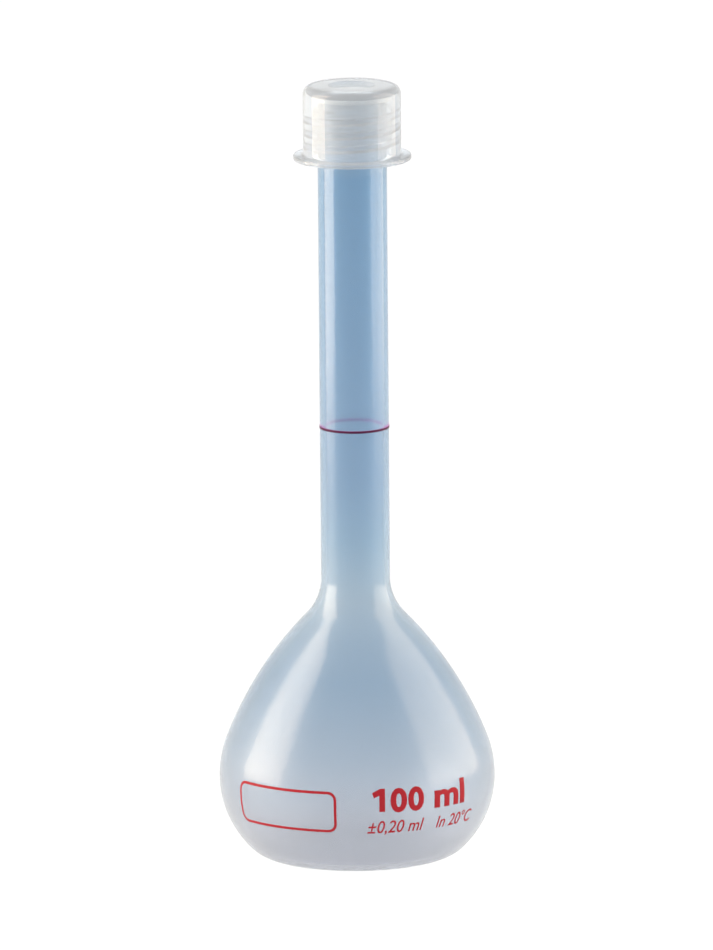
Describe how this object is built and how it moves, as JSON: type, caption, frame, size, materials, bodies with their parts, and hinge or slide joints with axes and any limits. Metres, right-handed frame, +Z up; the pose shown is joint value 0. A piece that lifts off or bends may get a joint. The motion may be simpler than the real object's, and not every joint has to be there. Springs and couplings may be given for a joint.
{
  "type": "volumetric flask with screw cap",
  "caption": "Pear-shaped plastic volumetric flask with a long narrow neck, a ring mark at its filling height and a brimmed screw cap that seals the mouth.",
  "frame": {"origin": "centre of the foot ring, on the surface that the flask stands on", "axes": "+Z up along the flask's axis, through the neck and the cap; the printed side faces -Y"},
  "size_m": [0.061, 0.061, 0.1729],
  "materials": {
    "clear_plastic": "clear blow-moulded polymethylpentene, glossy, with a faint haze",
    "print_ink": "thin red screen-printed ink",
    "cap_plastic": "natural milky polypropylene, satin gloss",
    "seal_foam": "soft white polyethylene foam disc"
  },
  "bodies": {
    "flask": {"flask_body": "clear_plastic", "ring_mark": "print_ink"},
    "seal": {"sealing_disc": "seal_foam"},
    "cap": {"screw_cap": "cap_plastic"}
  },
  "joints": [
    {"name": "cap_lift", "type": "slide", "parent": "flask", "child": "seal", "axis": [0, 0, 1], "range_m": [0, 0.0151]},
    {"name": "cap_turn", "type": "hinge", "parent": "seal", "child": "cap", "pos_m": [0, 0, 0.164], "axis": [0, 0, 1], "range_deg": [0, 1800]}
  ],
  "couplings": [
    {"joint": "cap_lift", "follows": "cap_turn", "m_per_rad": 0.00047746}
  ]
}
